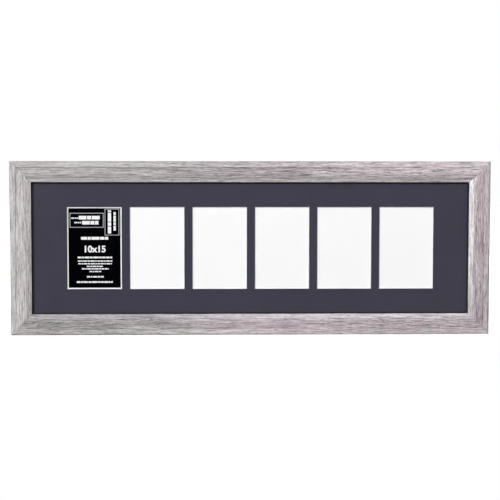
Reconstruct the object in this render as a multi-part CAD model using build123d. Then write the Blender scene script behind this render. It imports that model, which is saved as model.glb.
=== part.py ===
from build123d import *
import os

# A long collage picture frame: a mitred wood moulding round a glazed mat with six upright windows, closed
# at the back by a white-faced foam board that ten turn buttons hold in. Millimetres. The front faces -Y, X is
# the width and Z is up. The origin is the middle of the whole object. On a rail, "inward" is counted from its
# outer edge towards the glass, and "height" from its back face towards the front.

# The photographs, and how they are spread over the mat
photo_width = 101.6
photo_height = 152.4
photo_count = 6
photo_gap = 12.7
side_margin = 69.85
top_margin = 50.8
photo_lap = 2.4  # the mat covers this much of each edge of a photograph
window_bevel_angle = 45

# The flat sheets that the frame holds: glass, mat, card and backing board
glass_thickness = 2.0
mat_paper_thickness = 0.2
mat_core_thickness = 1.0
card_thickness = 0.3
liner_thickness = 0.3
foam_thickness = 4.2
board_recess = 0.2  # the board's back lies this far inside the rails' back face

# The moulding
rail_width = 40.5
rail_depth = 22.0
sheet_lap = 8.75  # the rails cover this much of each edge of the sheets
sheet_clearance = 0.8  # between a sheet's edge and the rabbet
wall_height = 4.5  # the steep dark wall between the glass and the lip
wall_draft = 2.4
lip_width = 7.6
quirk_width = 0.6
quirk_drop = 1.8
face_drop = 1.6  # from the crown of the face down to its inner edge
band_width = 11.0
band_drop = 1.4  # from the crown of the face down to the band's inner edge
band_fall = 0.5
groove_width = 1.1
groove_depth = 0.8
edge_radius = 3.0

# Corner nails: bent steel strips pressed into the back of each mitre
v_nail_wing = 6.5
v_nail_thickness = 0.5
v_nail_height = 10.0
v_nail_proud = 0.1  # of the rails' back face
v_nail_clearance = 0.05
v_nail_inward = 7.0  # of the outer nail
v_nail_spacing = 11.0

# Turn buttons and their screws
button_width = 9.5
button_reach = 17.0  # from the screw to the free end
button_thickness = 1.2
button_edge = 0.25
button_gap = 0.1  # under and over the button
button_setback = 7.0  # from the rabbet to the screw
button_from_long_end = 168.0
button_from_short_end = 88.0
screw_radius = 1.45
screw_length = 12.0  # in the wood
screw_point = 2.5
screw_running_gap = 0.08
pilot_clearance = 0.05
head_radius = 2.8
head_height = 1.8
head_round = 0.8
recess_span = 3.2
recess_slot = 0.8
recess_depth = 1.0

# Sawtooth hangers and their nails
hanger_length = 44.5
hanger_width = 9.5
hanger_thickness = 0.8
hanger_rise = 2.0
hanger_foot = 9.0
hanger_ramp = 3.0
hanger_inward = 8.8
hanger_from_end = 98.0  # of the two on the top rail
hanger_corner = 1.2
tooth_count = 9
tooth_depth = 1.8
nail_radius = 0.75
nail_length = 10.0
nail_point = 2.0
nail_hole_clearance = 0.25
nail_head_radius = 1.8
nail_head_height = 0.7

# Rubber bumpers that stand the frame off the wall
bumper_radius = 6.35
bumper_height = 3.8
bumper_round = 0.9
bumper_inward = 15.5
bumper_from_end = 45.0

overrun = 2.0  # a cutter runs this far past what it cuts

# What follows from them
photo_pitch = photo_width + photo_gap
sheet_width = photo_count * photo_width + (photo_count - 1) * photo_gap + 2 * side_margin
sheet_height = photo_height + 2 * top_margin
sight_width = sheet_width - 2 * sheet_lap
sight_height = sheet_height - 2 * sheet_lap
frame_width = sight_width + 2 * rail_width
frame_height = sight_height + 2 * rail_width
mat_thickness = mat_core_thickness + 2 * mat_paper_thickness
board_thickness = foam_thickness + 2 * liner_thickness
rabbet_depth = glass_thickness + mat_thickness + card_thickness + board_thickness + board_recess
rabbet_inward = rail_width - sheet_lap - sheet_clearance
button_inward = rabbet_inward - button_setback
button_along_long = frame_width / 2 - button_from_long_end
button_along_short = frame_height / 2 - button_from_short_end
hanger_along = frame_width / 2 - hanger_from_end
whole_depth = rail_depth + bumper_height

wall_plane = whole_depth / 2
rail_back = wall_plane - bumper_height
glass_front = rail_back - rabbet_depth
mat_front = glass_front + glass_thickness
card_front = mat_front + mat_thickness
board_front = card_front + card_thickness

# Each side of the frame is the top one turned about Y
side_angles = {"top": 0, "right": 90, "bottom": 180, "left": -90}
# Each side's length, and how far its outer edge lies from the middle
sides = {
    "top": (frame_width, frame_height / 2),
    "right": (frame_height, frame_width / 2),
    "bottom": (frame_width, frame_height / 2),
    "left": (frame_height, frame_width / 2),
}
corners = {"lower_left": (-1, -1), "upper_left": (-1, 1), "lower_right": (1, -1), "upper_right": (1, 1)}

# Side, and distance along it clockwise as seen from the front, of each turn button and hanger
button_places = {
    "top_left": ("top", -button_along_long),
    "top_middle": ("top", 0),
    "top_right": ("top", button_along_long),
    "right_upper": ("right", -button_along_short),
    "right_lower": ("right", button_along_short),
    "bottom_right": ("bottom", -button_along_long),
    "bottom_middle": ("bottom", 0),
    "bottom_left": ("bottom", button_along_long),
    "left_lower": ("left", -button_along_short),
    "left_upper": ("left", button_along_short),
}
hanger_places = {
    "hanger_top_left": ("top", -hanger_along),
    "hanger_top_right": ("top", hanger_along),
    "hanger_left_side": ("left", 0),
}


def on_rail(side, along, inward):
    # A place on a rail's back face, with local Y pointing away from the wood
    length, outer = sides[side]
    return Rot(0, side_angles[side], 0) * Pos(along, rail_back, outer - inward)


def rod(radius, length, point):
    # A shank along -Y with its flat end at the origin and a point at the other
    upright = (Align.CENTER, Align.CENTER, Align.MIN)
    shank = Cylinder(radius, length - point, align=upright)
    tip = Cone(radius, 0, point, align=upright)
    return Plane.XZ * (shank + Pos(0, 0, length - point) * tip)


def disc(radius, height):
    # A disc along +Y with its flat face at the origin
    return Plane.ZX * Cylinder(radius, height, align=(Align.CENTER, Align.CENTER, Align.MIN))


def slab(width, height, thickness, front):
    # A flat sheet centred on the frame, with its front face at the given Y
    return Pos(0, front + thickness / 2, 0) * Box(width, thickness, height)


def rail_section():
    # The moulding's outline: X inward, Y height above the back face. From the outer edge it has a rounded
    # band, a fine groove, a face that rises to a crown, a small step, a sloping lip, and a wall over the glass
    band_inner = rail_depth - band_drop
    band_outer = band_inner - band_fall
    lip_start = rail_width - wall_draft - lip_width
    face_end = lip_start - quirk_width
    groove_end = band_width + groove_width
    round_start = (0, band_outer - edge_radius)
    round_end = (edge_radius, band_outer)
    groove_near = (band_width, band_inner)
    groove_bottom = (band_width + groove_width / 2, band_inner - groove_depth)
    groove_far = (groove_end, band_inner)
    crown = ((groove_end + face_end) / 2, rail_depth)
    face_edge = (face_end, rail_depth - face_drop)
    lip_top = (lip_start, rail_depth - face_drop - quirk_drop)
    lip_foot = (rail_width - wall_draft, rabbet_depth + wall_height)
    before_face = Polyline((rabbet_inward, 0), (0, 0), round_start)
    band = Polyline(round_end, groove_near, groove_bottom, groove_far)
    wall_foot = (rail_width, rabbet_depth)
    rabbet_corner = (rabbet_inward, rabbet_depth)
    after_face = Polyline(face_edge, lip_top, lip_foot, wall_foot, rabbet_corner, (rabbet_inward, 0))
    return make_face([
        *before_face.edges(),
        TangentArc(round_start, round_end, tangent=(0, 1)),
        *band.edges(),
        TangentArc(crown, groove_far, tangent=(-1, 0)),
        TangentArc(crown, face_edge, tangent=(1, 0)),
        *after_face.edges(),
    ])


def v_nail(corner, inward, spare):
    # Two wings that meet on the mitre, one in each rail; spare makes the pocket that holds them
    side_x, side_z = corner
    thickness = v_nail_thickness + 2 * spare
    wing = v_nail_wing + 2 * spare
    tip_x = side_x * (frame_width / 2 - inward + spare)
    tip_z = side_z * (frame_height / 2 - inward + spare)
    middle_y = rail_back + v_nail_proud - v_nail_height / 2
    height = v_nail_height + 2 * spare
    along_x = Pos(-side_x * wing / 2, 0, -side_z * thickness / 2) * Box(wing, height, thickness)
    along_z = Pos(-side_x * thickness / 2, 0, -side_z * wing / 2) * Box(thickness, height, wing)
    return Pos(tip_x, middle_y, tip_z) * (along_x + along_z)


def v_nails(spare):
    inwards = (v_nail_inward, v_nail_inward + v_nail_spacing)
    return [v_nail(corner, inward, spare) for corner in corners.values() for inward in inwards]


def hanger_nail_places(side, along):
    reach = (hanger_length - hanger_foot) / 2
    return [on_rail(side, along + way * reach, hanger_inward) for way in (-1, 1)]


def rail(side):
    length, outer = sides[side]
    section = Plane(origin=(0, rail_back, outer), x_dir=(0, 0, -1), z_dir=(-1, 0, 0)) * rail_section()
    bar = extrude(section, length / 2 + overrun, both=True)
    inner = rail_width + overrun
    mitred = make_face(Polyline(
        (length / 2 + overrun, outer + overrun),
        (length / 2 - inner, outer - inner),
        (inner - length / 2, outer - inner),
        (-length / 2 - overrun, outer + overrun),
        close=True,
    ))
    bar = bar & extrude(Plane.XZ * mitred, whole_depth, both=True)
    bar = Rot(0, side_angles[side], 0) * bar
    pockets = v_nails(v_nail_clearance)
    for place_side, along in button_places.values():
        if place_side == side:
            hole = rod(screw_radius + pilot_clearance, screw_length + pilot_clearance, screw_point)
            pockets.append(on_rail(side, along, button_inward) * hole)
    for place_side, along in hanger_places.values():
        if place_side == side:
            hole = rod(nail_radius + pilot_clearance, nail_length + pilot_clearance, nail_point)
            pockets += [place * hole for place in hanger_nail_places(side, along)]
    for pocket in pockets:
        bar = bar - pocket
    return bar.solids()[0]


def window_centres():
    first = -(photo_count - 1) / 2 * photo_pitch
    return [first + number * photo_pitch for number in range(photo_count)]


def window_cutter(centre):
    # The opening widens from the mat's back to its face, which bares the white core as a bevel
    back = Plane.XZ * Rectangle(photo_width - 2 * photo_lap, photo_height - 2 * photo_lap)
    opening = extrude(back, mat_thickness, taper=-window_bevel_angle)
    return Pos(centre, card_front, 0) * opening


def mat_layer(front, thickness):
    layer = slab(sheet_width, sheet_height, thickness, front)
    for centre in window_centres():
        layer = layer - window_cutter(centre)
    return layer


def insert_card():
    card = slab(photo_width, photo_height, card_thickness, card_front)
    return Pos(window_centres()[0], 0, 0) * card


def turn_button():
    # A flat strip with round ends, pivoted near one end, with its arm lying inward over the board
    outline = Rot(0, 0, 90) * SlotCenterToCenter(button_reach - button_width / 2, button_width)
    outline = Pos(0, -(button_reach - button_width / 2) / 2) * outline
    outline = outline - Circle(screw_radius + screw_running_gap)
    plate = extrude(Plane.XZ * outline, -button_thickness)
    rims = plate.faces().sort_by(Axis.Y)[-1].outer_wire().edges()
    plate = chamfer(rims, button_edge)
    return Pos(0, button_gap, 0) * plate


def button_screw():
    # Shank in the wood and through the button, with a round head that has a cross recess
    seat = button_thickness + 2 * button_gap
    shank = Pos(0, seat, 0) * rod(screw_radius, screw_length + seat, screw_point)
    head = disc(head_radius, head_height)
    head = fillet(head.edges().sort_by(Axis.Y)[-1], head_round)
    bar = Box(recess_span, 2 * recess_depth, recess_slot)
    cross = bar + Rot(0, 90, 0) * bar
    head = head - Pos(0, head_height, 0) * cross
    return shank + Pos(0, seat, 0) * head


def hanger():
    # A strip bent up in the middle, with saw teeth cut in the edge that faces the frame's middle
    end = hanger_length / 2
    ramp = end - hanger_foot
    shelf = ramp - hanger_ramp
    under = [(-end, 0), (-ramp, 0), (-shelf, hanger_rise), (shelf, hanger_rise), (ramp, 0), (end, 0)]
    over = [(x, y + hanger_thickness) for x, y in reversed(under)]
    strip = extrude(make_face(Polyline(*under, *over, close=True)), hanger_width / 2, both=True)
    pitch = 2 * shelf / tooth_count
    notch = make_face(Polyline(
        (-pitch / 2, -hanger_width / 2),
        (0, tooth_depth - hanger_width / 2),
        (pitch / 2, -hanger_width / 2),
        close=True,
    ))
    notch = extrude(Plane.XZ * notch, -(hanger_rise + hanger_thickness + overrun))
    for number in range(tooth_count):
        strip = strip - Pos((number + 1 / 2) * pitch - shelf, 0, 0) * notch
    for way in (-1, 1):
        hole = disc(nail_radius + nail_hole_clearance, hanger_thickness + overrun)
        strip = strip - Pos(way * (hanger_length - hanger_foot) / 2, -overrun / 2, 0) * hole
    upright_edges = strip.edges().filter_by(Axis.Y)
    return fillet(upright_edges.filter_by(lambda edge: abs(edge.center().X) > ramp), hanger_corner)


def hanger_nail():
    shank = Pos(0, hanger_thickness, 0) * rod(nail_radius, nail_length + hanger_thickness, nail_point)
    return shank + Pos(0, hanger_thickness, 0) * disc(nail_head_radius, nail_head_height)


def bumper(corner):
    side_x, side_z = corner
    pad = disc(bumper_radius, bumper_height)
    pad = fillet(pad.edges().sort_by(Axis.Y)[-1], bumper_round)
    centre_x = side_x * (frame_width / 2 - bumper_from_end)
    centre_z = side_z * (frame_height / 2 - bumper_inward)
    return Pos(centre_x, rail_back, centre_z) * pad


def fixed_nodes():
    rear = board_front + liner_thickness + foam_thickness
    nodes = {side + "_rail": rail(side) for side in sides}
    nodes["corner_v_nails"] = v_nails(0)
    nodes["glass_pane"] = slab(sheet_width, sheet_height, glass_thickness, glass_front)
    nodes["mat_face_paper"] = mat_layer(mat_front, mat_paper_thickness)
    nodes["mat_core_board"] = mat_layer(mat_front + mat_paper_thickness, mat_core_thickness)
    nodes["mat_backing_paper"] = mat_layer(card_front - mat_paper_thickness, mat_paper_thickness)
    nodes["insert_card"] = insert_card()
    nodes["backing_front_liner"] = slab(sheet_width, sheet_height, liner_thickness, board_front)
    nodes["backing_foam_core"] = slab(sheet_width, sheet_height, foam_thickness, rear - foam_thickness)
    nodes["backing_rear_liner"] = slab(sheet_width, sheet_height, liner_thickness, rear)
    return nodes


def back_nodes():
    nodes = {"turn_button_screws": [], "hanger_nails": []}
    for name, (side, along) in button_places.items():
        place = on_rail(side, along, button_inward)
        nodes["turn_button_" + name] = place * turn_button()
        nodes["turn_button_screws"].append(place * button_screw())
    for name, (side, along) in hanger_places.items():
        nodes[name] = on_rail(side, along, hanger_inward) * hanger()
        nodes["hanger_nails"] += [place * hanger_nail() for place in hanger_nail_places(side, along)]
    for name, corner in corners.items():
        nodes["bumper_" + name] = bumper(corner)
    return nodes


os.makedirs("parts", exist_ok=True)
for name, shape in {**fixed_nodes(), **back_nodes()}.items():
    pieces = shape if isinstance(shape, list) else [shape]
    solids = [solid for piece in pieces for solid in piece.solids()]
    whole = Compound(children=solids) if len(solids) > 1 else solids[0]
    export_step(whole, "parts/" + name + ".step")
    print(name, len(solids), "solid(s)", round(sum(solid.volume for solid in solids), 1), "mm3")
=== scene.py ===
import math

import bmesh
import bpy
from mathutils import Matrix, Vector, noise


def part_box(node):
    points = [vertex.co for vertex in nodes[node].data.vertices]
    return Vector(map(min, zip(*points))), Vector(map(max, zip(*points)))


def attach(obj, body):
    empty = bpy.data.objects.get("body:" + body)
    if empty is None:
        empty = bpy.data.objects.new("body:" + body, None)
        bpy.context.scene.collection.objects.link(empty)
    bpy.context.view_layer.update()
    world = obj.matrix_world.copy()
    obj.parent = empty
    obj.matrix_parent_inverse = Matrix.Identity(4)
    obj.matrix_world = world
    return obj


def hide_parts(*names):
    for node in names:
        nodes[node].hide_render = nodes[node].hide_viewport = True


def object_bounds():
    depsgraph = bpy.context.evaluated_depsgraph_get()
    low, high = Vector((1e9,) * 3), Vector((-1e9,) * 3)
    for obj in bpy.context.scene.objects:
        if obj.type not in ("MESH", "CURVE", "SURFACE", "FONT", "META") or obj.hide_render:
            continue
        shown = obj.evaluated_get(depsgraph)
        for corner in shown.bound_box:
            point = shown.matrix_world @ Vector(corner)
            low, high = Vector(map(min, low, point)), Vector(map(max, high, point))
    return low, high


# A long collage picture frame in driftwood grey, seen almost square on. Lengths in the dictionaries are in mm
# and angles in degrees, but the studio's places and sizes are in metres. mm turns a length to metres.

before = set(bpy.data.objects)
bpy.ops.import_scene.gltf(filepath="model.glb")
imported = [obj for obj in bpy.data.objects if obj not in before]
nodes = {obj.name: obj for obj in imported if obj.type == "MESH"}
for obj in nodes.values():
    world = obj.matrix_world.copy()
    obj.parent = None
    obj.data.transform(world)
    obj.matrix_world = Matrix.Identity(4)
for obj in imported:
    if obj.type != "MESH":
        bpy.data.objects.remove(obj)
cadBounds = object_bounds()
mm = 0.001
rangeSockets = ("From Min", "From Max", "To Min", "To Max")  # the order of every range in a look


def linearColour(hexColour):
    # sRGB hex to the linear values that a socket takes
    channels = [int(hexColour[start:start + 2], 16) / 255 for start in (1, 3, 5)]
    return [c / 12.92 if c <= 0.04045 else ((c + 0.055) / 1.055) ** 2.4 for c in channels] + [1.0]


def addNode(tree, kind, settings={}, inputs={}):
    # an input is a plain value, or another node's output to link
    # a Mix node takes two values at its sockets 2 and 3, and two colours at 6 and 7
    added = tree.nodes.new("ShaderNode" + kind)
    for name, value in settings.items():
        setattr(added, name, value)
    for name, value in inputs.items():
        if isinstance(value, bpy.types.NodeSocket):
            tree.links.new(value, added.inputs[name])
        else:
            added.inputs[name].default_value = value
    return added


def newMaterial(name):
    material = bpy.data.materials.new(name)
    material.use_nodes = True
    material.node_tree.nodes.clear()
    return material, material.node_tree


def finishMaterial(tree, shader):
    addNode(tree, "OutputMaterial", {}, {"Surface": shader})


def dress(names, material):
    # the CAD nodes keep their meshes and only take a material
    for name in names:
        nodes[name].data.materials.clear()
        nodes[name].data.materials.append(material)


def addPiece(bm, name, materials):
    mesh = bpy.data.meshes.new(name)
    bm.to_mesh(mesh)
    bm.free()
    for material in materials:
        mesh.materials.append(material)
    piece = bpy.data.objects.new(name, mesh)
    bpy.context.scene.collection.objects.link(piece)
    return piece


# Wood
driftwoodLook = {
    "grey": "#B5B2B2", "mauve": "#B6A8AE", "moss": "#AFADA8", "lavender": "#B3B2BC",
    "layers": {  # one cell of each noise: length along the grain, width across it, detail
        "fibre": (52, 1.3, 3.0), "hair": (26, 0.4, 2.0), "dash": (10, 1.0, 2.0), "crack": (40, 1.0, 1.0),
        "lime": (20, 1.1, 2.0), "patch": (150, 34, 2.0), "cloud": (80, 8, 3.0),
    },
    "layerApart": 3.7, "layerRoughness": 0.55,
    "bendCell": (200, 28), "bend": (0.2, 0.8, -0.0006, 0.0006),  # the grain wanders by 0.6 mm to each side
    "drift": (-0.26, 0.05, 0.15, 0.95),  # from the left to the middle, in metres, the stain turns to mauve
    "blush": (0.36, 0.64, -0.2, 0.2),  # mauve that patches add or take away
    "mossy": (0.5, 0.66, 0.0, 0.7),
    "shades": {  # how each layer darkens or lightens the wood; worn is the depth of the carved relief
        "fibre": (0.34, 0.66, 0.70, 1.28), "hair": (0.35, 0.65, 0.86, 1.12), "worn": (0.05, 0.55, 1.11, 0.93),
        "crack": (0.36, 0.42, 0.36, 1.0), "dash": (0.37, 0.44, 0.44, 1.0), "lime": (0.56, 0.64, 1.0, 1.35),
        "cloud": (0.3, 0.7, 1.08, 0.93),
    },
    # darker or lighter by the distance from the rail's outer edge: painted shade on the rounded outer edge
    # and in the groove, a painted highlight at the step against its own shadow, a lighter band and a paler
    # lip
    "tone": [(0, 0.92), (1.8, 0.95), (4.0, 1.12), (7.5, 1.06), (10.5, 1.0), (11.1, 0.78), (12.0, 0.80),
             (12.6, 1.0), (29.4, 1.0), (30.0, 1.6), (30.6, 1.6), (31.2, 1.28), (38.0, 1.34)],
    # share of the grain that lime fills: the outer band and the lip are smoother than the face
    "filled": [(0, 0.15), (10.8, 0.15), (11.3, 0.0), (29.0, 0.0), (30.5, 0.15), (38.0, 0.25)],
    "span": 50, "top": 1.6,  # the distance and the level that both ramps above end at
    "rough": (0.3, 0.7, 0.86, 0.68), "specular": 0.3, "bump": 0.55, "bumpDepth": 0.35,
}
railPaint = ("boardToneAndPaintedLight", "limeShare", "mauveShare", "lavenderShare")  # painted on each rail for the wood


def makeDriftwood(look):
    # sandblasted pine, stained grey and limed: matt, with dark open pores and chalky streaks along the grain
    material, tree = newMaterial("limed_driftwood")
    grain = addNode(tree, "UVMap", {"uv_map": "grain"}).outputs["UV"]
    length, width = look["bendCell"]
    bent = addNode(tree, "Mapping", {}, {
        "Vector": grain, "Scale": (1000 / length, 1000 / width, 1)}).outputs[0]
    bent = addNode(tree, "TexNoise", {}, {"Vector": bent, "Scale": 1.0, "Detail": 1.0}).outputs["Fac"]
    bent = addNode(tree, "MapRange", {}, {"Value": bent, **dict(zip(rangeSockets, look["bend"]))}).outputs[0]
    bent = addNode(tree, "CombineXYZ", {}, {"Y": bent}).outputs[0]
    bent = addNode(tree, "VectorMath", {"operation": "ADD"}, {0: grain, 1: bent}).outputs[0]
    layer = {"worn": addNode(tree, "Attribute", {"attribute_name": "worn"}).outputs["Fac"]}
    for number, (name, (length, width, detail)) in enumerate(look["layers"].items()):
        placed = addNode(tree, "Mapping", {}, {
            "Vector": bent, "Location": (0, 0, look["layerApart"] * number),
            "Scale": (1000 / length, 1000 / width, 1)}).outputs[0]
        layer[name] = addNode(tree, "TexNoise", {}, {
            "Vector": placed, "Scale": 1.0, "Detail": detail,
            "Roughness": look["layerRoughness"]}).outputs["Fac"]
    paint = {name: addNode(tree, "Attribute", {"attribute_name": name}).outputs["Fac"] for name in railPaint}

    # the stain is grey with a little moss, and turns to mauve by place, patch and strip
    place = addNode(tree, "TexCoord").outputs["Object"]
    place = addNode(tree, "SeparateXYZ", {}, {"Vector": place}).outputs["X"]
    drift = addNode(tree, "MapRange", {"interpolation_type": "SMOOTHSTEP"}, {
        "Value": place, **dict(zip(rangeSockets, look["drift"]))}).outputs[0]
    blush = addNode(tree, "MapRange", {}, {
        "Value": layer["patch"], **dict(zip(rangeSockets, look["blush"]))}).outputs[0]
    blush = addNode(tree, "Math", {"operation": "ADD", "use_clamp": True}, {0: blush, 1: drift}).outputs[0]
    blush = addNode(tree, "Math", {"operation": "MULTIPLY"}, {0: blush, 1: paint["mauveShare"]}).outputs[0]
    mossy = addNode(tree, "MapRange", {}, {
        "Value": layer["cloud"], **dict(zip(rangeSockets, look["mossy"]))}).outputs[0]
    tint = linearColour(look["grey"])
    for name, share in (("moss", mossy), ("mauve", blush), ("lavender", paint["lavenderShare"])):
        tint = addNode(tree, "Mix", {"data_type": "RGBA"}, {
            0: share, 6: tint, 7: linearColour(look[name])}).outputs[2]

    # the profile's own tone, with painted shade in the groove and a painted highlight at the step, times the
    # grain where no lime fills it, times the board's tone, which is partly painted light and shade
    profile = {}
    inward = addNode(tree, "SeparateXYZ", {}, {"Vector": grain}).outputs["Y"]
    inward = addNode(tree, "Math", {"operation": "DIVIDE"}, {0: inward, 1: look["span"] * mm}).outputs[0]
    for name in ("tone", "filled"):
        ramp = addNode(tree, "ValToRGB", {}, {"Fac": inward})
        stops = ramp.color_ramp.elements
        for number, (distance, level) in enumerate(look[name]):
            stop = stops[number] if number < 2 else stops.new(1)
            stop.position = distance / look["span"]
            stop.color = [level / look["top"]] * 3 + [1]
        profile[name] = addNode(tree, "Math", {"operation": "MULTIPLY"}, {
            0: ramp.outputs[0], 1: look["top"]}).outputs[0]
    pattern = 1.0
    for name, shade in look["shades"].items():
        shade = addNode(tree, "MapRange", {"interpolation_type": "SMOOTHSTEP"}, {
            "Value": layer[name], **dict(zip(rangeSockets, shade))}).outputs[0]
        pattern = addNode(tree, "Math", {"operation": "MULTIPLY"}, {0: pattern, 1: shade}).outputs[0]
    filled = addNode(tree, "Math", {"operation": "ADD", "use_clamp": True}, {
        0: profile["filled"], 1: paint["limeShare"]}).outputs[0]
    tone = addNode(tree, "Mix", {"data_type": "FLOAT"}, {0: filled, 2: pattern, 3: 1.0}).outputs[0]
    for factor in (profile["tone"], paint["boardToneAndPaintedLight"]):
        tone = addNode(tree, "Math", {"operation": "MULTIPLY"}, {0: tone, 1: factor}).outputs[0]
    colour = addNode(tree, "VectorMath", {"operation": "SCALE"}, {0: tint, "Scale": tone}).outputs[0]

    relief = addNode(tree, "Math", {"operation": "ADD"}, {0: layer["fibre"], 1: layer["dash"]}).outputs[0]
    bump = addNode(tree, "Bump", {}, {
        "Strength": look["bump"], "Distance": look["bumpDepth"] * mm, "Height": relief}).outputs[0]
    rough = addNode(tree, "MapRange", {}, {
        "Value": layer["fibre"], **dict(zip(rangeSockets, look["rough"]))}).outputs[0]
    shader = addNode(tree, "BsdfPrincipled", {}, {
        "Base Color": colour, "Roughness": rough, "Normal": bump, "Specular IOR Level": look["specular"]})
    finishMaterial(tree, shader.outputs[0])
    return material


sightWallLook = {
    "dark": "#080709", "worn": "#141214", "cell": (30, 1.5),
    "rough": 0.7, "bump": 0.4, "bumpDepth": 0.2,
}


def makeSightWall(look):
    # the steep inner side of the moulding, nearly black so that it sets off the mat: partly a black stain and
    # partly painted shade along the sight edge
    material, tree = newMaterial("black_stain_and_painted_shade")
    grain = addNode(tree, "UVMap", {"uv_map": "grain"}).outputs["UV"]
    length, width = look["cell"]
    placed = addNode(tree, "Mapping", {}, {
        "Vector": grain, "Scale": (1000 / length, 1000 / width, 1)}).outputs[0]
    fibre = addNode(tree, "TexNoise", {}, {"Vector": placed, "Scale": 1.0, "Detail": 3.0}).outputs["Fac"]
    colour = addNode(tree, "Mix", {"data_type": "RGBA"}, {
        0: fibre, 6: linearColour(look["dark"]), 7: linearColour(look["worn"])}).outputs[2]
    bump = addNode(tree, "Bump", {}, {
        "Strength": look["bump"], "Distance": look["bumpDepth"] * mm, "Height": fibre}).outputs[0]
    shader = addNode(tree, "BsdfPrincipled", {}, {
        "Base Color": colour, "Roughness": look["rough"], "Normal": bump})
    finishMaterial(tree, shader.outputs[0])
    return material


bareWoodLook = {
    "early": "#DBC49C", "late": "#B8935F", "ring": (160, 3.2), "fibre": (16, 0.5),
    "lateFrom": (0.42, 0.62), "shade": (0.3, 0.7, 0.88, 1.06),
    "rough": 0.72, "bump": 0.3, "bumpDepth": 0.15,
}


def makeBareWood(look):
    # planed, unfinished pine: straight growth lines, with fine fibres over them
    material, tree = newMaterial("bare_pine")
    grain = addNode(tree, "UVMap", {"uv_map": "grain"}).outputs["UV"]
    layer = {}
    for name in ("ring", "fibre"):
        length, width = look[name]
        placed = addNode(tree, "Mapping", {}, {
            "Vector": grain, "Scale": (1000 / length, 1000 / width, 1)}).outputs[0]
        layer[name] = addNode(tree, "TexNoise", {}, {
            "Vector": placed, "Scale": 1.0, "Detail": 3.0}).outputs["Fac"]
    late = addNode(tree, "MapRange", {"interpolation_type": "SMOOTHSTEP"}, {
        "Value": layer["ring"], **dict(zip(rangeSockets, look["lateFrom"]))}).outputs[0]
    colour = addNode(tree, "Mix", {"data_type": "RGBA"}, {
        0: late, 6: linearColour(look["early"]), 7: linearColour(look["late"])}).outputs[2]
    shade = addNode(tree, "MapRange", {}, {
        "Value": layer["fibre"], **dict(zip(rangeSockets, look["shade"]))}).outputs[0]
    colour = addNode(tree, "VectorMath", {"operation": "SCALE"}, {0: colour, "Scale": shade}).outputs[0]
    bump = addNode(tree, "Bump", {}, {
        "Strength": look["bump"], "Distance": look["bumpDepth"] * mm, "Height": layer["fibre"]}).outputs[0]
    shader = addNode(tree, "BsdfPrincipled", {}, {
        "Base Color": colour, "Roughness": look["rough"], "Normal": bump})
    finishMaterial(tree, shader.outputs[0])
    return material


# Rails
# The moulding's outline as the CAD rails have it: distance in from the outer edge, and height over the back
moulding = {
    "edgeRadius": 3.0, "edgeSteps": 5,
    "band": [(3.0, 20.1), (11.0, 20.6)], "groove": (11.55, 19.8),
    "face": [(12.1, 20.6), (21.0, 22.0), (29.9, 20.4)],  # foot, crown and inner edge
    "lip": [(30.5, 18.6), (38.1, 13.2)], "wall": (40.5, 8.7), "rabbet": 30.95,
    "across": 0.8, "along": 2.0,  # spacing of the points that carry the relief
    "sharpFrom": 20, "edgeEase": 0.25, "easeSegments": 2,  # edges that bend by more than 20 degrees are eased
    "mitreEase": 0.45, "mitreDip": 0.22, "mitreGap": 0.03,  # the front dips at the cut, so a fine line shows
    "reliefLayers": [(60, 2.0, 0.24), (140, 3.6, 0.20), (260, 7.0, 0.14)],  # length, width, depth
    "layerApart": 5.3, "boardApart": 7.1,  # cells between one layer's or board's pattern and the next
    "reliefLevel": 0.35,  # more of it leaves less of the surface unworn
    "quirk": 0.7,  # how far to each side of the lip's start the step's painted highlight reaches
    "grooveReach": 0.9,  # how far to each side of the groove the painted light and shade of the groove reaches
    "edgeShadeReach": 5.0,  # how far from the outer front edge the painted light and shade on the rounded edge reaches
    "mapFold": 1.8,  # lets the grain's map run on round the outer edge without a jump
    "smoothAngle": 32,
    "shortest": 20,  # edges shorter than this belong to the ends and get no points
}
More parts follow.
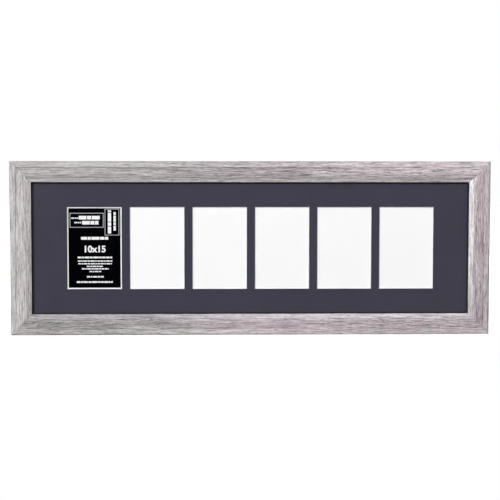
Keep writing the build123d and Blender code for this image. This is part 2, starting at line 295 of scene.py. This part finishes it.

# Each length has its own tones: partly the lime and stain that it took differently, and partly painted light
# and shade for the way the lamps fall on that side. A set of three is for its start, middle and end,
# clockwise as seen from the front. face is the tone of the whole front, and the tones after it multiply that:
# on the outer band, on the lip, near the outer edge, near the groove and down to the foot of the face. The
# lip, edge, groove and foot tones are mostly painted light and shade: lighter where a surface faces the key
# lamp, darker where it turns away. quirk is a painted highlight in the step, against the shadow that the step
# casts on the lip, limed a further share of the grain that lime fills, and mauve and lavender the shares of
# those stains on each strip.
boardFinishAndPaintedLight = {
    "top": {
        "turn": 0, "shift": 0.0,  # turn about Y, and shift along the grain's pattern in metres
        "reach": 1.0,  # share of the half length over which the tone changes
        "face": (1.00, 0.93, 1.20), "band": (1.02, 1.14, 0.99), "lip": (1.17, 1.15, 0.88),
        "edge": (0.88, 0.86, 1.12), "groove": (0.92, 0.95, 1.40), "foot": (0.80, 0.76, 1.0),
        "quirk": 1.25, "limed": (0.35, 0.0, 0.02),
        "mauve": {"face": 0.74, "band": 0.54, "lip": 0.36},
        "lavender": {"face": 0.0, "band": 0.0, "lip": 0.0},
    },
    "right": {
        "turn": 90, "shift": 1.3,
        "reach": 1.0,
        "face": (1.12, 1.04, 0.95), "band": (0.90, 1.04, 1.08), "lip": (1.21, 1.12, 0.80),
        "edge": (0.72, 0.68, 0.68), "groove": (1.08, 1.05, 1.20), "foot": (1.10, 1.08, 1.0),
        "quirk": 1.0, "limed": (0.12, 0.04, 0.0),
        "mauve": {"face": 1.0, "band": 0.62, "lip": 0.0},
        "lavender": {"face": 0.0, "band": 0.0, "lip": 0.0},
    },
    "bottom": {
        "turn": 180, "shift": 2.9,
        "reach": 0.55,
        "face": (0.95, 1.08, 0.72), "band": (1.08, 1.08, 1.36), "lip": (1.00, 0.77, 0.90),
        "edge": (0.92, 0.76, 0.58), "groove": (1.10, 1.22, 1.00), "foot": (1.35, 1.03, 1.50),
        "quirk": 0.94, "limed": (0.0, 0.2, 0.0),
        "mauve": {"face": 1.0, "band": 0.68, "lip": 0.62},
        "lavender": {"face": 0.0, "band": 0.0, "lip": 0.3},
    },
    "left": {
        "turn": -90, "shift": 4.1,
        "reach": 1.0,
        "face": (1.17, 1.17, 1.17), "band": (0.91, 0.90, 0.85), "lip": (0.67, 0.89, 0.93),
        "edge": (1.06, 1.06, 1.06), "groove": (1.35, 1.15, 1.0), "foot": (1.06, 1.0, 0.85),
        "quirk": 1.4, "limed": (0.18, 0.18, 0.18),
        "mauve": {"face": 1.0, "band": 0.7, "lip": 0.35},
        "lavender": {"face": 0.0, "band": 0.2, "lip": 0.0},
    },
}


def spread(start, end, spacing):
    # evenly spaced points from start up to, but not at, the end
    start, end = Vector(start), Vector(end)
    count = max(1, round((end - start).length / spacing))
    return [start.lerp(end, number / count) for number in range(count)]


def crownPoints(face, spacing):
    # two arcs that meet level at the crown
    foot, crown, edge = (Vector(point) for point in face)
    points = []
    for start, end, low in ((foot, crown, foot), (crown, edge, edge)):
        reach, drop = abs(low.x - crown.x), crown.y - low.y
        radius = (reach * reach + drop * drop) / (2 * drop)
        for point in spread(start, end, spacing):
            level = crown.y - radius + math.sqrt(radius * radius - (point.x - crown.x) ** 2)
            points.append(Vector((point.x, level)))
    return points


def mouldingOutline(shape):
    bandStart = Vector(shape["band"][0])
    radius, spacing = shape["edgeRadius"], shape["across"]
    centre = Vector((radius, bandStart.y - radius))
    points = spread((0, 0), (0, centre.y), 4 * spacing)  # the outer side needs fewer points than the front
    for number in range(shape["edgeSteps"]):
        turn = math.pi / 2 * number / shape["edgeSteps"]
        points.append(centre + radius * Vector((-math.cos(turn), math.sin(turn))))
    points += spread(bandStart, shape["band"][1], spacing)
    points += [Vector(shape["band"][1]), Vector(shape["groove"])]
    points += crownPoints(shape["face"], spacing)
    points.append(Vector(shape["face"][2]))
    points += spread(*shape["lip"], spacing)
    points += spread(shape["lip"][1], shape["wall"], spacing)
    wall, rabbet = shape["wall"], shape["rabbet"]
    return points + [Vector(wall), Vector((rabbet, wall[1])), Vector((rabbet, 0))]


def drawRail(bm, shape, length, back, outer):
    # the outline drawn out past both mitres, with its sharp long edges eased
    start = -length / 2 - shape["wall"][0] * mm
    outline = [(start, back - height * mm, outer - inward * mm) for inward, height in mouldingOutline(shape)]
    section = bm.faces.new([bm.verts.new(point) for point in outline])
    grown = bmesh.ops.extrude_face_region(bm, geom=[section])
    moved = [item for item in grown["geom"] if isinstance(item, bmesh.types.BMVert)]
    bmesh.ops.translate(bm, verts=moved, vec=(-2 * start, 0, 0))
    bmesh.ops.recalc_face_normals(bm, faces=bm.faces)
    long = [edge for edge in bm.edges if abs((edge.verts[0].co - edge.verts[1].co).x) > mm]
    limit = math.radians(shape["sharpFrom"])
    sharp = [edge for edge in long if edge.is_convex and edge.calc_face_angle() > limit]
    bmesh.ops.bevel(bm, geom=sharp, offset=shape["edgeEase"] * mm, segments=shape["easeSegments"],
                    profile=0.5, affect="EDGES", material=-1, clamp_overlap=True)


def cutMitres(bm, shape, length, outer):
    # each end is cut at 45 degrees through the outer corner, with a line beside the cut for the eased edge
    caps = []
    for way in (-1, 1):
        corner, normal = Vector((way * length / 2, 0, outer)), Vector((way, 0, -1)).normalized()
        cut = bmesh.ops.bisect_plane(
            bm, geom=bm.verts[:] + bm.edges[:] + bm.faces[:], dist=1e-7,
            plane_co=corner - normal * (shape["mitreGap"] * mm), plane_no=normal, clear_outer=True)
        edges = [item for item in cut["geom_cut"] if isinstance(item, bmesh.types.BMEdge)]
        caps += bmesh.ops.contextual_create(bm, geom=edges)["faces"]
        bmesh.ops.bisect_plane(
            bm, geom=bm.verts[:] + bm.edges[:] + bm.faces[:], dist=1e-7,
            plane_co=corner - normal * (shape["mitreEase"] * mm), plane_no=normal)
    return caps


def stainStrips(bm, shape, back, outer):
    # the front and the outer side are limed, the inner wall is black with stain and painted shade, and the
    # back and the cut ends are bare
    limed, black, bare = range(3)
    close = 0.05  # the eased edge at the wall's start is black too
    wallStart, wallEnd = shape["lip"][1], shape["wall"]
    for face in bm.faces:
        centre = face.calc_center_median()
        inward, height = (outer - centre.z) / mm, (back - centre.y) / mm
        face.material_index = limed
        if max(abs(face.normal.x), face.normal.y) > 0.5:
            face.material_index = bare
        elif inward > shape["rabbet"] - 0.5 and height < wallEnd[1]:
            face.material_index = bare
        elif inward > wallStart[0] - close and height < wallStart[1] + close:
            face.material_index = black


def carveRail(bm, shape, back, outer, seed):
    # weathering: soft summer wood is worn back along the grain, and takes more stain the deeper it is worn
    worn = bm.verts.layers.float.new("worn")
    deepest = sum(deep for length, width, deep in shape["reliefLayers"])
    lipEnd, lipFoot = shape["lip"][1]
    for vert in bm.verts:
        along, inward, height = vert.co.x / mm, (outer - vert.co.z) / mm, (back - vert.co.y) / mm
        depth = 0
        for number, (length, width, deep) in enumerate(shape["reliefLayers"]):
            apart = shape["layerApart"] * number + shape["boardApart"] * seed
            spot = Vector((along / length, (inward - height) / width, apart))
            depth += deep * max(0, shape["reliefLevel"] + noise.noise(spot))
        vert[worn] = depth / deepest
        if height > lipFoot - 0.01:
            fade = min(1, inward / shape["edgeRadius"], (lipEnd - inward) / shape["edgeRadius"])
            vert.co.y += fade * depth * mm


def toneAlong(tones, along, reach):
    # smoothly from the middle's tone to that of either end
    start, middle, end = tones
    share = min(1, abs(along) / reach)
    return middle + ((end if along > 0 else start) - middle) * share * share * (3 - 2 * share)


def paintRail(bm, shape, finishAndPaintedLight, length, back, outer):
    # the front's tone, then those of the strip, the step, the groove, the foot of the face and the outer
    # edge:
    # partly the finish, and partly painted light and shade for the way the lamps fall on each rail
    for name in railPaint:
        bm.verts.layers.float.new(name)
    paint = bm.verts.layers.float
    groove, step = shape["groove"][0], shape["lip"][0][0]
    foot, crown = shape["face"][0][0], shape["face"][1][0]
    for vert in bm.verts:
        along, inward = 2 * vert.co.x / length, (outer - vert.co.z) / mm
        tones = {name: toneAlong(finishAndPaintedLight[name], along, finishAndPaintedLight["reach"])
                 for name in ("face", "band", "lip", "edge", "groove", "foot", "limed")}
        strip = "face"
        if inward < groove:
            strip = "band"
        elif inward > step - shape["quirk"]:
            strip = "lip"
        level = tones["face"]
        if strip != "face":
            level *= tones[strip]
        # painted highlight in the step, against the shadow that the step casts on the lip
        if abs(inward - step) < shape["quirk"]:
            level *= finishAndPaintedLight["quirk"]
        # painted light and shade near the groove, set for each side
        share = max(0, 1 - abs(inward - groove) / shape["grooveReach"])
        level *= 1 + share * (tones["groove"] - 1)
        # painted light and shade on the face's outer slope down to its foot, for the way the lamps fall on it
        if strip == "face":
            share = min(1, max(0, crown - inward) / (crown - foot))
            level *= 1 + share * (tones["foot"] - 1)
        # painted shade on the rounded outer edge where it turns from the lamps, and painted light where it
        # faces them
        fromEdge = math.hypot(inward, shape["band"][0][1] - (back - vert.co.y) / mm)
        share = max(0, 1 - fromEdge / shape["edgeShadeReach"])
        level *= 1 + share * (tones["edge"] - 1)
        values = (level, tones["limed"], finishAndPaintedLight["mauve"][strip], finishAndPaintedLight["lavender"][strip])
        for name, value in zip(railPaint, values):
            vert[paint[name]] = value


def mapGrain(bm, shape, back, outer, shift):
    # UV in metres: u along the grain, v in from the outer edge, or down the outer side
    grain = bm.loops.layers.uv.new("grain")
    bm.normal_update()
    for face in bm.faces:
        level = abs(face.normal.y) > 0.7
        for loop in face.loops:
            inward, height = outer - loop.vert.co.z, back - loop.vert.co.y
            across = inward if level else height - (shape["band"][0][1] - shape["mapFold"]) * mm
            loop[grain].uv = (loop.vert.co.x + shift, across)


def makeRail(name, side, shape, finishAndPaintedLight, materials):
    # made as the top rail, along x, and then turned to its own side
    lowest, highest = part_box(side + "_rail")
    upright = side in ("left", "right")
    length = (highest.z - lowest.z) if upright else (highest.x - lowest.x)
    outer = max(abs(lowest.x), abs(highest.x)) if upright else max(abs(lowest.z), abs(highest.z))
    back = highest.y

    bm = bmesh.new()
    drawRail(bm, shape, length, back, outer)
    caps = cutMitres(bm, shape, length, outer)
    stainStrips(bm, shape, back, outer)

    # points along the rail for the relief, and the dip along each mitre
    runs = {edge: edge.verts[0].co - edge.verts[1].co for edge in bm.edges}
    middle = [edge for edge, run in runs.items() if abs(run.x) > shape["shortest"] * mm and abs(run.z) < mm]
    cuts = round(length / (shape["along"] * mm))
    bmesh.ops.subdivide_edges(bm, edges=middle, cuts=cuts, use_grid_fill=False)
    for vert in {vert for cap in caps for vert in cap.verts}:
        if back - vert.co.y > shape["wall"][1] * mm:
            vert.co.y += shape["mitreDip"] * mm
    carveRail(bm, shape, back, outer, finishAndPaintedLight["shift"])
    paintRail(bm, shape, finishAndPaintedLight, length, back, outer)
    mapGrain(bm, shape, back, outer, finishAndPaintedLight["shift"])

    turn = Matrix.Rotation(math.radians(finishAndPaintedLight["turn"]), 3, "Y")
    bmesh.ops.rotate(bm, verts=bm.verts, cent=(0, 0, 0), matrix=turn)
    rail = addPiece(bm, name, materials)
    rail.data.polygons.foreach_set("use_smooth", [True] * len(rail.data.polygons))
    rail.data.set_sharp_from_angle(angle=math.radians(shape["smoothAngle"]))
    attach(rail, "frame")
    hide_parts(side + "_rail")


railMaterials = [makeDriftwood(driftwoodLook), makeSightWall(sightWallLook), makeBareWood(bareWoodLook)]
for side, finishAndPaintedLight in boardFinishAndPaintedLight.items():
    makeRail(side + "_rail_limed", side, moulding, finishAndPaintedLight, railMaterials)
print("rails done")

# Sheets behind the glass
paperLooks = {
    # colour, mottle share, fibre size, roughness, specular level
    "charcoal_mat_paper": ("#3F3E4A", 0.05, 0.9, 0.92, 0.08),
    "white_core_board": ("#F5F6F8", 0.03, 0.5, 0.95, 0.1),
    "cream_backing_paper": ("#E6E1D6", 0.05, 0.8, 0.93, 0.1),
    "clay_coated_liner": ("#FCFCFC", 0.01, 1.2, 0.80, 0.1),
    "black_card_ink": ("#010103", 0.25, 0.7, 0.85, 0.0),
    "white_card_ink": ("#F4F4F4", 0.03, 0.7, 0.55, 0.1),
    "grey_card_ink": ("#A2A2A6", 0.06, 0.7, 0.55, 0.1),
}
paperCloud = {"size": 70, "range": (0.7, 1.3)}  # the range is that of fibres and clouds together


def makePaper(name, hexColour, mottle, fibre, roughness, specular):
    # pressed fibre: almost flat, with a faint mottle; fibres are drawn coarser than life so that they show
    material, tree = newMaterial(name)
    place = addNode(tree, "TexCoord").outputs["Object"]
    fibres = addNode(tree, "TexNoise", {}, {
        "Vector": place, "Scale": 1000 / fibre, "Detail": 4.0, "Roughness": 0.6}).outputs["Fac"]
    clouds = addNode(tree, "TexNoise", {}, {
        "Vector": place, "Scale": 1000 / paperCloud["size"], "Detail": 2.0}).outputs["Fac"]
    both = addNode(tree, "Math", {"operation": "ADD"}, {0: fibres, 1: clouds}).outputs[0]
    shades = (*paperCloud["range"], 1 - mottle, 1 + mottle)
    shade = addNode(tree, "MapRange", {}, {"Value": both, **dict(zip(rangeSockets, shades))}).outputs[0]
    colour = addNode(tree, "VectorMath", {"operation": "SCALE"}, {
        0: linearColour(hexColour)[:3], "Scale": shade}).outputs[0]
    bump = addNode(tree, "Bump", {}, {"Strength": 0.15, "Distance": 0.05 * mm, "Height": fibres}).outputs[0]
    shader = addNode(tree, "BsdfPrincipled", {}, {
        "Base Color": colour, "Roughness": roughness, "Specular IOR Level": specular, "Normal": bump})
    finishMaterial(tree, shader.outputs[0])
    return material


papers = {name: makePaper(name, *look) for name, look in paperLooks.items()}
dress(["mat_face_paper"], papers["charcoal_mat_paper"])
dress(["mat_core_board"], papers["white_core_board"])
dress(["mat_backing_paper"], papers["cream_backing_paper"])
dress(["backing_front_liner", "backing_rear_liner"], papers["clay_coated_liner"])
dress(["insert_card"], papers["black_card_ink"])

foamLook = {
    "cell": "#F4F4F1", "shadow": "#D9D9D4", "cellSize": 0.5,
    "rough": 0.85, "bump": 0.5, "bumpDepth": 0.1,
}


def makeFoam(look):
    # extruded polystyrene foam: the cut edge shows small closed cells
    material, tree = newMaterial("polystyrene_foam")
    place = addNode(tree, "TexCoord").outputs["Object"]
    cells = addNode(tree, "TexVoronoi", {}, {
        "Vector": place, "Scale": 1000 / look["cellSize"]}).outputs["Distance"]
    colour = addNode(tree, "Mix", {"data_type": "RGBA"}, {
        0: cells, 6: linearColour(look["cell"]), 7: linearColour(look["shadow"])}).outputs[2]
    bump = addNode(tree, "Bump", {}, {
        "Strength": look["bump"], "Distance": look["bumpDepth"] * mm, "Height": cells}).outputs[0]
    shader = addNode(tree, "BsdfPrincipled", {}, {
        "Base Color": colour, "Roughness": look["rough"], "Normal": bump})
    finishMaterial(tree, shader.outputs[0])
    return material


dress(["backing_foam_core"], makeFoam(foamLook))

glassLook = {"colour": "#FEFEFE", "ior": 1.52, "smear": 110, "film": (0.4, 0.8, 0.0, 0.004)}


def makeGlass(look):
    # 2 mm float glass, polished, with a trace of film left by cleaning; lamps and diffuse light pass straight
    material, tree = newMaterial("float_glass")
    place = addNode(tree, "TexCoord").outputs["Object"]
    smear = addNode(tree, "TexNoise", {}, {
        "Vector": place, "Scale": 1000 / look["smear"], "Detail": 3.0}).outputs["Fac"]
    rough = addNode(tree, "MapRange", {}, {
        "Value": smear, **dict(zip(rangeSockets, look["film"]))}).outputs[0]
    glass = addNode(tree, "BsdfGlass", {}, {
        "Color": linearColour(look["colour"]), "Roughness": rough, "IOR": look["ior"]}).outputs[0]
    clear = addNode(tree, "BsdfTransparent").outputs[0]
    path = addNode(tree, "LightPath")
    soft = addNode(tree, "MixShader", {}, {0: path.outputs["Is Diffuse Ray"], 1: glass, 2: clear}).outputs[0]
    shader = addNode(tree, "MixShader", {}, {0: path.outputs["Is Shadow Ray"], 1: soft, 2: clear}).outputs[0]
    finishMaterial(tree, shader)
    return material


dress(["glass_pane"], makeGlass(glassLook))
print("sheets and glass done")

# Print on the card in the first window
cardPrint = {
    "border": 3.35,  # white margin, most of it under the mat
    "film": 0.02,  # thickness of the ink
    "boxes": [(-45.2, 64.4, 16.9, 37.2), (18.5, 72.0, 45.4, 23.0)],  # left, top, right, bottom
    "boxLine": 1.5,
    # rows of bars: middle height, left, right, bar height
    "rows": [(55.6, -28.5, 9.6, 6.6), (46.4, -22.5, 7.4, 6.6), (54.8, -42.0, -29.5, 2.4),
             (46.6, -36.5, -24.0, 2.4), (17.9, -24.7, 25.0, 5.2), (-17.2, -30.7, 33.0, 3.1),
             (-23.7, -30.7, 33.0, 2.2), (-28.7, -29.9, 31.4, 2.2), (-33.5, -14.2, 15.0, 2.1),
             (-38.1, -23.4, 25.4, 2.3), (-43.0, -9.7, 11.8, 2.1), (-52.6, -14.2, 16.4, 2.7),
             (-62.3, -32.6, 32.8, 3.0)],
    # columns of bars: middle, top, bottom, bar width
    "columns": [(27.4, 69.0, 26.6, 6.0), (36.8, 65.8, 32.0, 4.2)],
    "barLengths": [5.1, 2.7, 6.6, 3.9, 7.8, 3.2, 4.6], "barGap": 1.1,
    "barThickness": 2.4,  # bars thicker than this are longer in proportion
    "numerals": "10x15", "numeralHeight": 11.6, "numeralFoot": -7.4, "numeralBold": 0.55,
    "numeralShare": 0.7,  # the height of a numeral as a share of the built-in font's size
}


def addBlock(bm, left, top, right, bottom):
    # a flat film of white ink, its back on the card
    film = cardPrint["film"]
    made = bmesh.ops.create_cube(bm, size=1)["verts"]
    bmesh.ops.scale(bm, verts=made, vec=(right - left, film, top - bottom))
    bmesh.ops.translate(bm, verts=made, vec=((left + right) / 2, -film / 2, (top + bottom) / 2))


def addRing(bm, left, top, right, bottom, line, index):
    # an outline of ink: a flat face is inset, opened in the middle and given the film's thickness
    film = cardPrint["film"]
    corners = ((left, bottom), (right, bottom), (right, top), (left, top))
    sheet = bm.faces.new([bm.verts.new((x, 0, z)) for x, z in corners])
    sheet.normal_update()
    ring = bmesh.ops.inset_region(
        bm, faces=[sheet], thickness=line, use_boundary=True, use_even_offset=True)["faces"]
    bmesh.ops.delete(bm, geom=[sheet], context="FACES_ONLY")
    grown = bmesh.ops.extrude_face_region(bm, geom=ring)["geom"]
    moved = [item for item in grown if isinstance(item, bmesh.types.BMVert)]
    bmesh.ops.translate(bm, verts=moved, vec=(0, -film, 0))
    faces = list({face for vert in moved for face in vert.link_faces} | set(ring))
    bmesh.ops.recalc_face_normals(bm, faces=faces)
    for face in faces:
        face.material_index = index


def barEnds(look, start, end, thickness):
    # where each bar of a row starts and stops; their lengths are uneven
    scale = max(1, thickness / look["barThickness"])
    ends, spot = [], start
    while spot < end:
        bar = look["barLengths"][len(ends) % len(look["barLengths"])]
        stop = min(end, spot + bar * scale)
        ends.append((spot, stop))
        spot = stop + look["barGap"]
    return [(low, high) for low, high in ends if high - low > look["barGap"] / 2]


def addNumerals(bm, look):
    # plain size numerals, made a mesh before they are placed
    curve = bpy.data.curves.new("numerals", "FONT")
    curve.body = look["numerals"]
    curve.align_x = "CENTER"
    curve.size = look["numeralHeight"] / look["numeralShare"]
    curve.offset = look["numeralBold"]
    curve.extrude = look["film"] / 2
    carrier = bpy.data.objects.new("numerals", curve)
    bpy.context.scene.collection.objects.link(carrier)
    bpy.context.view_layer.update()
    flat = bpy.data.meshes.new_from_object(carrier.evaluated_get(bpy.context.evaluated_depsgraph_get()))
    bpy.data.objects.remove(carrier)
    upright = Matrix.Rotation(math.pi / 2, 4, "X")
    flat.transform(Matrix.Translation((0, -look["film"] / 2, look["numeralFoot"])) @ upright)
    flat.materials.clear()
    bm.from_mesh(flat)
    bpy.data.meshes.remove(flat)


def makeCardPrint(look, materials):
    lowest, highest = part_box("insert_card")
    halfWidth, halfHeight = (highest.x - lowest.x) / 2 / mm, (highest.z - lowest.z) / 2 / mm
    white, grey = range(2)
    bm = bmesh.new()
    addRing(bm, -halfWidth, halfHeight, halfWidth, -halfHeight, look["border"], white)
    for box in look["boxes"]:
        addRing(bm, *box, look["boxLine"], grey)
    for height, left, right, tall in look["rows"]:
        for start, stop in barEnds(look, left, right, tall):
            addBlock(bm, start, height + tall / 2, stop, height - tall / 2)
    for across, top, bottom, wide in look["columns"]:
        for start, stop in barEnds(look, bottom, top, wide):
            addBlock(bm, across - wide / 2, stop, across + wide / 2, start)
    addNumerals(bm, look)

    centre = (lowest + highest) / 2
    bmesh.ops.scale(bm, verts=bm.verts, vec=(mm, mm, mm))
    bmesh.ops.translate(bm, verts=bm.verts, vec=(centre.x, lowest.y, centre.z))
    printed = addPiece(bm, "insert_card_print", materials)
    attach(printed, "frame")


makeCardPrint(cardPrint, [papers["white_card_ink"], papers["grey_card_ink"]])
print("card done")

# Hardware on the back
metalLooks = {
    # colour, worn colour, roughness from and to, mottle size
    "zinc_plated_steel": ("#C6C6C3", "#B4B4B0", 0.26, 0.42, 2.4),
    "zinc_plated_screw": ("#BDBCB7", "#A5A49F", 0.24, 0.40, 0.9),
    "brass_plated_steel": ("#D0B16D", "#BF9F5A", 0.22, 0.38, 2.6),
    "bright_wire_steel": ("#C2C1BE", "#A8A7A4", 0.25, 0.38, 0.8),
}
scratchCell = (3.8, 1.1, 0.24)  # a fine scratch along x, y and z, drawn wider than life


def makeMetal(name, bright, dull, smooth, rough, size):
    # stamped and tumbled, then plated: a soft even shine with faint cloudy wear and fine scratches
    material, tree = newMaterial(name)
    place = addNode(tree, "TexCoord").outputs["Object"]
    wear = addNode(tree, "TexNoise", {}, {
        "Vector": place, "Scale": 1000 / size, "Detail": 4.0}).outputs["Fac"]
    drawn = addNode(tree, "Mapping", {}, {
        "Vector": place, "Scale": [1000 / cell for cell in scratchCell]}).outputs[0]
    scratch = addNode(tree, "TexNoise", {}, {"Vector": drawn, "Scale": 1.0, "Detail": 2.0}).outputs["Fac"]
    share = addNode(tree, "MapRange", {}, {"Value": wear, "From Min": 0.4, "From Max": 0.7}).outputs[0]
    colour = addNode(tree, "Mix", {"data_type": "RGBA"}, {
        0: share, 6: linearColour(bright), 7: linearColour(dull)}).outputs[2]
    gloss = addNode(tree, "MapRange", {}, {
        "Value": scratch, "From Min": 0.3, "From Max": 0.7, "To Min": smooth, "To Max": rough}).outputs[0]
    bump = addNode(tree, "Bump", {}, {"Strength": 0.12, "Distance": 0.05 * mm, "Height": scratch}).outputs[0]
    shader = addNode(tree, "BsdfPrincipled", {}, {
        "Base Color": colour, "Metallic": 1.0, "Roughness": gloss, "Normal": bump})
    finishMaterial(tree, shader.outputs[0])
    return material


metals = {name: makeMetal(name, *look) for name, look in metalLooks.items()}
buttons = [name for name in nodes if name.startswith("turn_button_") and name != "turn_button_screws"]
hangers = [name for name in nodes if name.startswith("hanger_") and name != "hanger_nails"]
dress(buttons, metals["zinc_plated_steel"])
dress(["turn_button_screws"], metals["zinc_plated_screw"])
dress(hangers, metals["brass_plated_steel"])
dress(["hanger_nails", "corner_v_nails"], metals["bright_wire_steel"])

rubberLook = {
    "colour": "#DCDCD6", "dust": "#CFCEC7", "speck": 1.1,
    "dusty": (0.5, 0.7), "rough": (0.0, 1.0, 0.25, 0.55), "ior": 1.5,
    "milky": 0.2, "milkyDepth": (0.002, 0.002, 0.0018),  # how deep red, green and blue light goes, in metres
}


def makeRubber(look):
    # soft polyurethane: milky and slightly glossy, dull where dust has settled
    material, tree = newMaterial("milky_polyurethane")
    place = addNode(tree, "TexCoord").outputs["Object"]
    dust = addNode(tree, "TexNoise", {}, {
        "Vector": place, "Scale": 1000 / look["speck"], "Detail": 3.0}).outputs["Fac"]
    share = addNode(tree, "MapRange", {}, {
        "Value": dust, **dict(zip(rangeSockets, look["dusty"]))}).outputs[0]
    colour = addNode(tree, "Mix", {"data_type": "RGBA"}, {
        0: share, 6: linearColour(look["colour"]), 7: linearColour(look["dust"])}).outputs[2]
    rough = addNode(tree, "MapRange", {}, {
        "Value": dust, **dict(zip(rangeSockets, look["rough"]))}).outputs[0]
    shader = addNode(tree, "BsdfPrincipled", {}, {
        "Base Color": colour, "Roughness": rough, "Subsurface Weight": look["milky"],
        "Subsurface Radius": look["milkyDepth"], "Subsurface Scale": 1.0, "IOR": look["ior"]})
    finishMaterial(tree, shader.outputs[0])
    return material


dress([name for name in nodes if name.startswith("bumper_")], makeRubber(rubberLook))
print("hardware done")

# Floor, light and camera
studio = {  # places and sizes in metres
    # the floor stops just in front of the frame, so that the glass doesn't mirror it
    "floorDrop": 0.00025, "floorFront": 0.013, "floorBack": 6, "floorHalf": 6, "floorColour": "#EDEDED",
    "floorGlow": {"Is Camera Ray": 0.86, "Is Glossy Ray": 0.15, "Is Transmission Ray": 0.15},
    # the world is dark in front, where the glass mirrors it, and bright behind, by the y of a ray's direction
    "behind": (-0.45, 0.0, 0.0, 1.0),
    "frontLevel": 0.01, "softLevel": 0.45, "mirrorLevel": 1.0,
    "lamps": {  # place, size, and power in watts
        "key": ((-3.3, -4.4, 2.2), 3.2, 354.0),
        "fill": ((1.7, -3.1, 1.5), 2.2, 70.0),
        "backFill": ((-1.2, 2.4, 1.8), 1.6, 50.0),
    },
    # a little above the frame, and left of its middle
    "cameraPlace": (-0.0862, -2.600, 0.1745), "cameraTarget": (-0.0017, 0.0, -0.0036), "cameraRoll": 0.07,
    "lens": 102.5, "sensor": 36.0,
}


def makeFloor(look):
    # matt and even: the camera sees the floor as white as the backdrop, all but the object's shadow
    material, tree = newMaterial("pale_floor")
    plain = addNode(tree, "BsdfDiffuse", {}, {"Color": linearColour(look["floorColour"])}).outputs[0]
    path = addNode(tree, "LightPath")
    level = 0
    for ray, share in look["floorGlow"].items():
        glow = addNode(tree, "Math", {"operation": "MULTIPLY"}, {0: path.outputs[ray], 1: share}).outputs[0]
        level = addNode(tree, "Math", {"operation": "MAXIMUM"}, {0: level, 1: glow}).outputs[0]
    glow = addNode(tree, "Emission", {}, {"Color": (1, 1, 1, 1), "Strength": level}).outputs[0]
    finishMaterial(tree, addNode(tree, "AddShader", {}, {0: plain, 1: glow}).outputs[0])
    bm = bmesh.new()
    made = bmesh.ops.create_grid(bm, x_segments=1, y_segments=1, size=1)["verts"]
    halfDepth = (look["floorBack"] + look["floorFront"]) / 2
    bmesh.ops.scale(bm, verts=made, vec=(look["floorHalf"], halfDepth, 1))
    height = cadBounds[0].z - look["floorDrop"]
    bmesh.ops.translate(bm, verts=made, vec=(0, halfDepth - look["floorFront"], height))
    floor = addPiece(bm, "floor", [material])


def lightWorld(look):
    world = bpy.data.worlds.new("studio")
    bpy.context.scene.world = world
    world.use_nodes = True
    tree = world.node_tree
    tree.nodes.clear()
    direction = addNode(tree, "TexCoord").outputs["Generated"]
    depth = addNode(tree, "SeparateXYZ", {}, {"Vector": direction}).outputs["Y"]
    behind = addNode(tree, "MapRange", {"interpolation_type": "SMOOTHSTEP"}, {
        "Value": depth, **dict(zip(rangeSockets, look["behind"]))}).outputs[0]
    soft = addNode(tree, "MapRange", {}, {
        "Value": behind, "To Min": look["frontLevel"], "To Max": look["softLevel"]}).outputs[0]
    mirror = addNode(tree, "MapRange", {}, {
        "Value": behind, "To Min": look["frontLevel"], "To Max": look["mirrorLevel"]}).outputs[0]
    # the camera sees plain white, mirrors and glass the mirror level, and all else gets the soft level
    path = addNode(tree, "LightPath")
    seen = addNode(tree, "Math", {"operation": "MAXIMUM"}, {
        0: path.outputs["Is Glossy Ray"], 1: path.outputs["Is Transmission Ray"]}).outputs[0]
    level = addNode(tree, "Mix", {"data_type": "FLOAT"}, {0: seen, 2: soft, 3: mirror}).outputs[0]
    level = addNode(tree, "Math", {"operation": "MAXIMUM"}, {
        0: path.outputs["Is Camera Ray"], 1: level}).outputs[0]
    glow = addNode(tree, "Background", {}, {"Color": (1, 1, 1, 1), "Strength": level}).outputs[0]
    addNode(tree, "OutputWorld", {}, {"Surface": glow})


def addLamps(look):
    # square soft boxes, all aimed at the middle of the frame
    for name, (place, size, power) in look["lamps"].items():
        light = bpy.data.lights.new(name, "AREA")
        light.shape = "SQUARE"
        light.size = size
        light.energy = power
        lamp = bpy.data.objects.new(name, light)
        lamp.location = place
        lamp.rotation_euler = (-Vector(place)).to_track_quat("-Z", "Y").to_euler()
        bpy.context.scene.collection.objects.link(lamp)


def addCamera(look):
    data = bpy.data.cameras.new("camera")
    data.lens = look["lens"]
    data.sensor_width = look["sensor"]
    camera = bpy.data.objects.new("camera", data)
    place, target = Vector(look["cameraPlace"]), Vector(look["cameraTarget"])
    aim = (target - place).to_track_quat("-Z", "Y").to_matrix().to_4x4()
    roll = Matrix.Rotation(math.radians(look["cameraRoll"]), 4, "Z")
    camera.matrix_world = Matrix.Translation(place) @ aim @ roll
    bpy.context.scene.collection.objects.link(camera)
    bpy.context.scene.camera = camera


makeFloor(studio)
lightWorld(studio)
addLamps(studio)
addCamera(studio)
bpy.context.scene.view_settings.view_transform = "Standard"
print("studio done")
